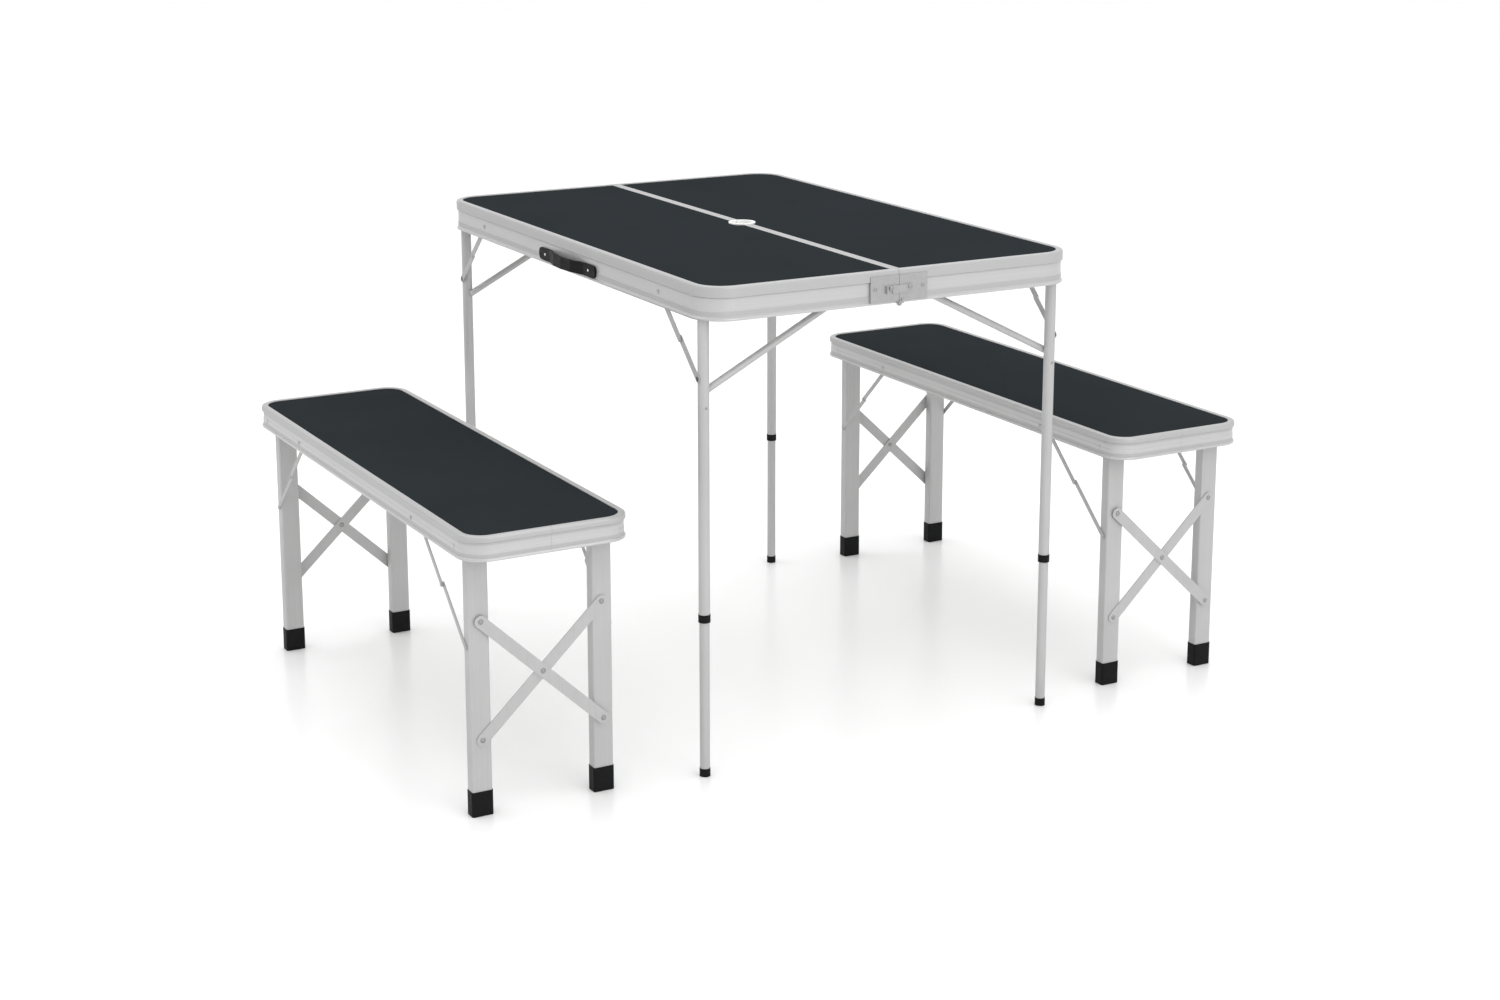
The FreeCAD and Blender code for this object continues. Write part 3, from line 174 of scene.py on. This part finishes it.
def opaque(colour):
    """An opaque colour with four channels; a number stands for a grey."""
    if isinstance(colour, (int, float)):
        colour = (colour, colour, colour)
    return (*colour, 1.0)


# ---------------------------------------------------------------- materials
#
# Ramp stops are (position, value) pairs, and grains are texture scales along X, Y and Z per metre.

TUBE_GRAIN = (900.0, 900.0, 5.0)
RIVET_GRAIN = (300.0, 300.0, 300.0)
RIM_GRAIN = (3.0, 3.0, 2600.0)
SCRATCH_GRAIN = (160.0, 160.0, 1500.0)
SCUFF_GRAIN = (60.0, 60.0, 240.0)
RUB_GRAIN = (18.0, 260.0, 18.0)

BLACK_PLASTIC = (0.0085, 0.0085, 0.0093)
BLACK_PLASTIC_WORN = (0.017, 0.017, 0.018)
CUP_PLASTIC = [(0.35, (0.74, 0.74, 0.73)), (0.70, (0.82, 0.82, 0.81))]
CUP_PLASTIC_WORN = (0.84, 0.84, 0.83)
PANEL_FACE = [(0.30, (0.0200, 0.0235, 0.0260)), (0.70, (0.0220, 0.0258, 0.0287))]
PANEL_FACE_WORN = (0.026, 0.030, 0.033)
PANEL_BACKING = [(0.30, (0.72, 0.72, 0.70)), (0.70, (0.78, 0.78, 0.76))]

# Tone and roughness of a rim by height, from the foot bead (0) to the lip (1). The tones hold painted
# light: a painted highlight on the foot bead, a web band brighter partly from its brushing and partly
# as a painted reflection of the softboxes, and painted shade that darkens the lip, which the overhead
# softbox lights most.
RIM_TONES_AND_PAINTED_LIGHT = [(0.0, 0.98), (0.12, 0.98), (0.14, 0.86), (0.28, 0.86), (0.30, 1.0), (0.62, 1.0),
             (0.66, 0.88), (0.93, 0.88), (0.975, 0.80), (1.0, 0.76)]
RIM_ROUGHNESS = [(0.0, 0.30), (0.12, 0.30), (0.14, 0.44), (0.28, 0.44), (0.30, 0.34), (0.62, 0.34),
                 (0.66, 0.42), (0.97, 0.42), (1.0, 0.34)]

# Emission of the floor by its distance from the origin, which is scaled to the ramp's 0 to 1 first.
FLOOR_DISTANCE_SCALE = 0.2
FLOOR_GLOW = [(0.3, 0.0), (0.9, 0.06)]


def aluminium(name, tone, grain, roughness, metal=0.2):
    """Satin anodised aluminium: drawing lines, faint blotches, and edges made brighter, partly rubbed
    and partly a painted highlight.
    """
    shader = Shader(name)
    shader.set(Metallic=metal, Specular_IOR_Level=0.12)
    lines = shader.noise(shader.stretched(grain), detail=4.0)
    patches = shader.noise(shader.place, scale=9.0)
    streaks = shader.mix(0.5, lines, patches)
    satin = shader.ramp(streaks, [(0.30, tone * 0.93), (0.70, tone * 1.06)])
    edges = shader.edges()
    # Edges made brighter, partly rubbed metal and partly a painted highlight.
    colour = shader.mix(edges, satin, tone * 1.10)
    rough = shader.ramp(streaks, [(0.30, roughness + 0.07), (0.70, roughness - 0.05)])
    normal = shader.bump(lines, strength=0.10, distance=0.0002)
    return shader.finish(colour, shader.mix(edges, rough, roughness - 0.12), normal)


def rim_aluminium(name, node, tone):
    """The rims' extrusion: lengthwise lines, a web band brighter partly from its brushing and partly
    as a painted reflection, a painted highlight on the foot bead, painted shade on the lip, and edges
    made brighter, partly rubbed and partly a painted highlight.

    The bands follow the section's height, read from the node's own box.
    """
    low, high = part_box(node)
    rise = high.z - low.z
    shader = Shader(name)
    shader.set(Metallic=0.35, Specular_IOR_Level=0.15)
    level = shader.math("MULTIPLY_ADD", shader.height(), 1 / rise, -low.z / rise)
    lines = shader.noise(shader.stretched(RIM_GRAIN), detail=4.0)
    patches = shader.noise(shader.place, scale=7.0)
    streaks = shader.mix(0.35, lines, patches)
    varied = shader.ramp(streaks, [(0.30, 0.94), (0.70, 1.04)])
    # Tone by height, partly the brushing and partly painted light: a painted highlight on the foot
    # bead, a painted reflection on the web band, painted shade on the lip.
    painted_light_bands = shader.ramp(level, RIM_TONES_AND_PAINTED_LIGHT)
    brushed_and_painted = shader.mix(1.0, shader.mix(1.0, painted_light_bands, varied, "MULTIPLY"), tone, "MULTIPLY")
    # Edges made brighter, partly rubbed metal and partly a painted highlight.
    colour = shader.mix(shader.math("MULTIPLY", shader.edges(), 0.5), brushed_and_painted, tone * 1.12)
    rough = shader.mix(0.15, shader.ramp(level, RIM_ROUGHNESS), lines)
    return shader.finish(colour, rough, shader.bump(lines, strength=0.12, distance=0.0002))


def plated_steel(name, tone, metal):
    """Zinc-plated pressed steel: a faint crystalline mottle, fine scratches, and edges made brighter,
    partly rubbed and partly a painted highlight.
    """
    shader = Shader(name)
    shader.set(Metallic=metal, Specular_IOR_Level=0.3)
    mottle = shader.noise(shader.place, scale=260.0, detail=5.0)
    scratches = shader.noise(shader.stretched(SCRATCH_GRAIN))
    marks = shader.mix(0.4, mottle, scratches)
    plating = shader.ramp(marks, [(0.30, tone * 0.92), (0.70, tone * 1.07)])
    # Edges made brighter, partly rubbed metal and partly a painted highlight.
    colour = shader.mix(shader.math("MULTIPLY", shader.edges(), 0.6), plating, tone * 1.3)
    rough = shader.ramp(marks, [(0.30, 0.48), (0.70, 0.38)])
    return shader.finish(colour, rough, shader.bump(marks, strength=0.12, distance=0.0003))


def black_plastic(name):
    """Moulded black plastic with a spark-eroded texture, paler scuffs and rubbed edges."""
    shader = Shader(name)
    shader.set(Specular_IOR_Level=0.08)
    grain = shader.noise(shader.place, scale=1800.0, detail=2.0)
    scuffs = shader.noise(shader.stretched(SCUFF_GRAIN), detail=6.0, roughness=0.7)
    scuff_mask = shader.ramp(scuffs, [(0.62, 0.0), (0.74, 1.0)])
    worn = shader.math("MAXIMUM", scuff_mask, shader.math("MULTIPLY", shader.edges(), 0.7))
    colour = shader.mix(worn, BLACK_PLASTIC, BLACK_PLASTIC_WORN)
    rough = shader.ramp(scuffs, [(0.35, 0.42), (0.75, 0.62)])
    return shader.finish(colour, rough, shader.bump(grain, strength=0.25, distance=0.0004))


def pale_plastic(name):
    """Moulded off-white plastic with a little dust and rubbed edges."""
    shader = Shader(name)
    shader.set(Specular_IOR_Level=0.3)
    grain = shader.noise(shader.place, scale=1400.0, detail=2.0)
    dust = shader.noise(shader.place, scale=60.0, detail=5.0)
    colour = shader.mix(shader.edges(), shader.ramp(dust, CUP_PLASTIC), CUP_PLASTIC_WORN)
    rough = shader.ramp(dust, [(0.35, 0.50), (0.70, 0.38)])
    return shader.finish(colour, rough, shader.bump(grain, strength=0.15, distance=0.0003))


def laminate(name):
    """Melamine board: a dark face with a pearl texture, clouding and rubs, and a pale backing."""
    shader = Shader(name)
    shader.set(Specular_IOR_Level=0.0)
    pearl = shader.noise(shader.place, scale=900.0, detail=2.0)
    clouds = shader.noise(shader.place, scale=5.0, detail=4.0)
    rubs = shader.noise(shader.stretched(RUB_GRAIN), detail=6.0, roughness=0.7)
    rub_mask = shader.ramp(rubs, [(0.64, 0.0), (0.80, 1.0)])
    worn = shader.math("MAXIMUM", rub_mask, shader.math("MULTIPLY", shader.edges(), 0.6))
    face = shader.mix(worn, shader.ramp(clouds, PANEL_FACE), PANEL_FACE_WORN)
    colour = shader.mix(shader.facing_down(), face, shader.ramp(clouds, PANEL_BACKING))
    rough = shader.ramp(shader.mix(0.5, clouds, rubs), [(0.30, 0.55), (0.70, 0.46)])
    return shader.finish(colour, rough, shader.bump(pearl, strength=0.12, distance=0.0003))


def floor_paint(name):
    """Pale studio floor; far from the table a faint glow keeps it as bright as the backdrop."""
    shader = Shader(name)
    shader.set(Specular_IOR_Level=0.4, Emission_Color=opaque(1.0))
    clouds = shader.noise(shader.place, scale=1.2)
    colour = shader.ramp(clouds, [(0.3, 0.88), (0.7, 0.89)])
    rough = shader.ramp(clouds, [(0.3, 0.24), (0.7, 0.21)])
    distance = shader.add("ShaderNodeVectorMath", operation="LENGTH")
    shader.link(shader.place, distance.inputs[0])
    scaled = shader.math("MULTIPLY", distance.outputs["Value"], FLOOR_DISTANCE_SCALE)
    shader.link(shader.ramp(scaled, FLOOR_GLOW), shader.bsdf.inputs["Emission Strength"])
    return shader.finish(colour, rough, shader.bump(clouds, strength=0.02, distance=0.001))


def make_materials():
    return {
        "laminate": laminate("panel_laminate"),
        "tube_aluminium": aluminium("satin_tube", 0.455, TUBE_GRAIN, 0.42),
        "plated_steel": plated_steel("zinc_plated_steel", 0.37, 0.40),
        "stay_steel": plated_steel("pale_stay_steel", 0.41, 0.25),
        "dark_steel": plated_steel("dark_rivet_steel", 0.10, 0.6),
        "black_plastic": black_plastic("textured_black_plastic"),
        "cup_plastic": pale_plastic("pale_cup_plastic"),
        "table_rim": rim_aluminium("table_rim_extrusion", "front_rim", 0.50),
        "bench_rim": rim_aluminium("bench_rim_extrusion", "front_bench_rim", 0.50),
        "pale_rivet": aluminium("pale_rivet_metal", 0.80, RIVET_GRAIN, 0.30, metal=0.4),
        "rivet_steel": aluminium("rivet_metal", 0.30, RIVET_GRAIN, 0.30, metal=0.7),
    }


def dress_cad_nodes(materials):
    """Give every CAD node the material of its slot; rims and stays have one of their own."""
    slots = {part["node"]: part["material_slot"] for part in RECORD["subparts"]}
    for node, piece in frame["nodes"].items():
        slot = slots[node]
        if slot == "rim_aluminium":
            slot = "bench_rim" if "bench" in node else "table_rim"
        elif "_stay_" in node:
            slot = "stay_steel"
        piece.data.materials.clear()
        piece.data.materials.append(materials[slot])


# ---------------------------------------------------------------- small pieces

TURN_STEPS = 24
DOME_STEPS = 6
# How far a head is sunk into the face it sits on.
SINK = 0.0001


def piece_from(name, mesh_maker, material, body):
    """An object made by mesh_maker(bmesh), shaded smooth, riding on a CAD body."""
    mesh = bpy.data.meshes.new(name)
    work = bmesh.new()
    mesh_maker(work)
    bmesh.ops.recalc_face_normals(work, faces=work.faces)
    for face in work.faces:
        face.smooth = True
    work.to_mesh(mesh)
    work.free()
    piece = bpy.data.objects.new(name, mesh)
    bpy.context.scene.collection.objects.link(piece)
    mesh.materials.append(material)
    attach(piece, body)
    return piece


def spin_profile(work, profile, base, direction):
    """Add a solid of revolution: profile is (radius, height) from the base outwards."""
    side = direction.orthogonal().normalized()
    other = direction.cross(side)
    turns = [2 * math.pi * step / TURN_STEPS for step in range(TURN_STEPS)]
    rings = []
    for radius, height in profile:
        centre = base + direction * height
        if radius == 0:
            rings.append([work.verts.new(centre)])
            continue
        rings.append([
            work.verts.new(centre + (side * math.cos(turn) + other * math.sin(turn)) * radius)
            for turn in turns
        ])
    for low, high in zip(rings, rings[1:]):
        for step in range(TURN_STEPS):
            after = (step + 1) % TURN_STEPS
            corners = [low[step % len(low)], low[after % len(low)],
                       high[after % len(high)], high[step % len(high)]]
            work.faces.new(list(dict.fromkeys(corners)))


def dome_profile(radius, height):
    """A domed head with a flat back, closed at its crown."""
    profile = [(0, 0), (radius, 0)]
    for step in range(1, DOME_STEPS):
        turn = math.pi / 2 * step / DOME_STEPS
        profile.append((radius * math.cos(turn), height * math.sin(turn)))
    return profile + [(0, height)]


def rivets(name, places, direction, head, body, material):
    """A set of equal domed heads on one body, sunk slightly into the face they sit on.

    head is the radius and height of the domes.
    """
    outwards = Vector(direction)

    def make(work):
        for place in places:
            spin_profile(work, dome_profile(*head), Vector(place) - outwards * SINK, outwards)
    return piece_from(name, make, material, body)


# ---------------------------------------------------------------- trim
#
# Each HEAD is the radius and height of a dome.

HANDLE_HEAD = (0.0020, 0.0013)
HANDLE_RIVET_SPAN = 0.150
HANDLE_THICKNESS = 0.0032

BAR_HEAD = (0.0037, 0.0020)
BENCH_RIVET_OFFSET = 0.089
BAR_TOP = 0.275
BAR_BOTTOM = 0.108
BAR_THICKNESS = 0.002

TUBE_HEAD = (0.0020, 0.0008)
TUBE_RADIUS = 0.008
TUBE_RIVET_HEIGHT = 0.532
# Low enough for the stay's upper link to fold over it.
STAY_PIN_HEAD = (0.0036, 0.00028)
STAY_PIN_HEIGHT = 0.5725

PLATE_HEAD = (0.0024, 0.0008)
STUD_HEAD = (0.0032, 0.0009)
HINGE_PIN_HEAD = (0.0025, 0.0008)
PLATE_THICKNESS = 0.0014
PLATE_RIVET_RISE = 0.0009
PLATE_RIVET_OFFSET = 0.039
STUD_OFFSETS = {"front": 0.0137, "rear": 0.0172}
FITTING_HEIGHT = 0.6775
HINGE_HEIGHT = 0.655


def handle_rivets(materials):
    low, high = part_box("carry_handle")
    middle, height = (low.x + high.x) / 2, (low.z + high.z) / 2
    face = high.y - HANDLE_THICKNESS
    places = [(middle + side * HANDLE_RIVET_SPAN / 2, face, height) for side in (-1, 1)]
    rivets("handle_rivets", places, (0, -1, 0), HANDLE_HEAD, "front_half", materials["pale_rivet"])


def bench_bar_rivets(materials):
    """Rivets through the crossed bars and the tubes behind them, and one at each crossing."""
    crossing = (BAR_TOP + BAR_BOTTOM) / 2
    for bench in HALVES:
        for end, way in ENDS.items():
            low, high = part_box(f"{bench}_bench_{end}_leg_frame")
            middle = (low.y + high.y) / 2
            over = high.x if way > 0 else low.x
            under = over - way * BAR_THICKNESS
            behind = under - way * BAR_THICKNESS
            left, right = middle - BENCH_RIVET_OFFSET, middle + BENCH_RIVET_OFFSET
            spots = {
                "over_bar": (way, [(over, left, BAR_TOP), (over, right, BAR_BOTTOM),
                                   (over, middle, crossing)]),
                "under_bar": (way, [(under, left, BAR_BOTTOM), (under, right, BAR_TOP)]),
                "crossing_back": (-way, [(behind, middle, crossing)]),
            }
            for spot, (facing, places) in spots.items():
                rivets(f"{bench}_bench_{end}_rivets_{spot}", places, (facing, 0, 0), BAR_HEAD,
                       f"{bench}_bench_{end}_legs", materials["rivet_steel"])


def leg_rivets(materials):
    """The small rivet in each upper tube and the dark pin head at the foot of each stay."""
    for half, side in HALVES.items():
        for end, way in ENDS.items():
            leg = f"{half}_{end}_leg"
            x, y = JOINTS[f"{leg}_fold"]["pos_m"][:2]
            rivets(f"{leg}_tube_rivet", [(x + way * TUBE_RADIUS, y, TUBE_RIVET_HEIGHT)],
                   (way, 0, 0), TUBE_HEAD, leg, materials["rivet_steel"])
            low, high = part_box(f"{half}_{end}_stay_leg_link")
            outside = high.y if side > 0 else low.y
            rivets(f"{half}_{end}_stay_pin", [(x, outside, STAY_PIN_HEIGHT)], (0, side, 0),
                   STAY_PIN_HEAD, f"{leg}_link", materials["dark_steel"])


def plate_domes(materials):
    """Domes on the rivets, studs and hinge pins of the end plates."""
    rivet_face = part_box("front_rim")[1].x + PLATE_THICKNESS + PLATE_RIVET_RISE
    metal = materials["rivet_steel"]
    for end, way in ENDS.items():
        for half, side in HALVES.items():
            low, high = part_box(f"{half}_end_plates")
            stud_face = high.x if way > 0 else low.x
            rivets(f"{half}_{end}_plate_rivet",
                   [(way * rivet_face, side * PLATE_RIVET_OFFSET, FITTING_HEIGHT)], (way, 0, 0),
                   PLATE_HEAD, f"{half}_half", metal)
            rivets(f"{half}_{end}_stud", [(stud_face, side * STUD_OFFSETS[half], FITTING_HEIGHT)],
                   (way, 0, 0), STUD_HEAD, f"{half}_half", metal)
        low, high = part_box("hinge_pins")
        rivets(f"{end}_hinge_pin", [(high.x if way > 0 else low.x, 0, HINGE_HEIGHT)], (way, 0, 0),
               HINGE_PIN_HEAD, "front_half", metal)


# ---------------------------------------------------------------- stage

FLOOR_REACH = 30.0
FLOOR_DROP = 0.0004

BACKDROP_STRENGTH = 1.0
LIGHT_TARGET = (0, 0, 0.5)
# Place, width, height and power in watts of each softbox.
SOFTBOXES = {
    "overhead_softbox": ((0.0, 0.0, 4.0), 6.0, 6.0, 130),
    "key_softbox": ((5.0, 0.5, 2.2), 3.0, 2.5, 45),
}

# The viewpoint solved from the photograph.  The azimuth runs from -Y towards +X.
CAMERA_PLACE = (3.27837, -1.81059, 1.331)
CAMERA_AZIMUTH = math.radians(60.899)
CAMERA_ELEVATION = math.radians(12.4945)
CAMERA_SENSOR = 36.0
CAMERA_LENS = 59.041
CAMERA_SHIFT = -0.1
CAMERA_REACH = 100.0


def add_floor():
    near, far = -FLOOR_REACH, FLOOR_REACH
    mesh = bpy.data.meshes.new("studio_floor")
    mesh.from_pydata([(near, near, 0), (far, near, 0), (far, far, 0), (near, far, 0)],
                     [], [(0, 1, 2, 3)])
    floor = bpy.data.objects.new("studio_floor", mesh)
    floor.location.z = -FLOOR_DROP
    bpy.context.scene.collection.objects.link(floor)
    mesh.materials.append(floor_paint("pale_floor"))


def add_light(name, place, width, height, power):
    light = bpy.data.lights.new(name, "AREA")
    light.shape = "RECTANGLE"
    light.size = width
    light.size_y = height
    light.energy = power
    lamp = bpy.data.objects.new(name, light)
    bpy.context.scene.collection.objects.link(lamp)
    lamp.location = place
    lamp.rotation_mode = "QUATERNION"
    lamp.rotation_quaternion = (Vector(LIGHT_TARGET) - Vector(place)).to_track_quat("-Z", "Y")


def add_lights():
    world = bpy.data.worlds.new("studio")
    bpy.context.scene.world = world
    world.use_nodes = True
    background = world.node_tree.nodes["Background"]
    background.inputs["Color"].default_value = opaque(1.0)
    background.inputs["Strength"].default_value = BACKDROP_STRENGTH
    for name, setup in SOFTBOXES.items():
        add_light(name, *setup)


def add_camera():
    """The photograph's viewpoint: from the right front, a little above the table."""
    camera = bpy.data.cameras.new("photo_camera")
    camera.sensor_width = CAMERA_SENSOR
    camera.lens = CAMERA_LENS
    camera.shift_y = CAMERA_SHIFT
    camera.clip_end = CAMERA_REACH
    view = bpy.data.objects.new("photo_camera", camera)
    bpy.context.scene.collection.objects.link(view)
    view.location = CAMERA_PLACE
    level = math.cos(CAMERA_ELEVATION)
    back = Vector((math.sin(CAMERA_AZIMUTH) * level, -math.cos(CAMERA_AZIMUTH) * level,
                   math.sin(CAMERA_ELEVATION)))
    view.rotation_mode = "QUATERNION"
    view.rotation_quaternion = (-back).to_track_quat("-Z", "Y")
    bpy.context.scene.camera = view


def set_tones():
    view = bpy.context.scene.view_settings
    view.view_transform = "Standard"
    view.look = "None"
    view.exposure = 0.0


materials = make_materials()
dress_cad_nodes(materials)
handle_rivets(materials)
bench_bar_rivets(materials)
leg_rivets(materials)
plate_domes(materials)
add_floor()
add_lights()
add_camera()
set_tones()
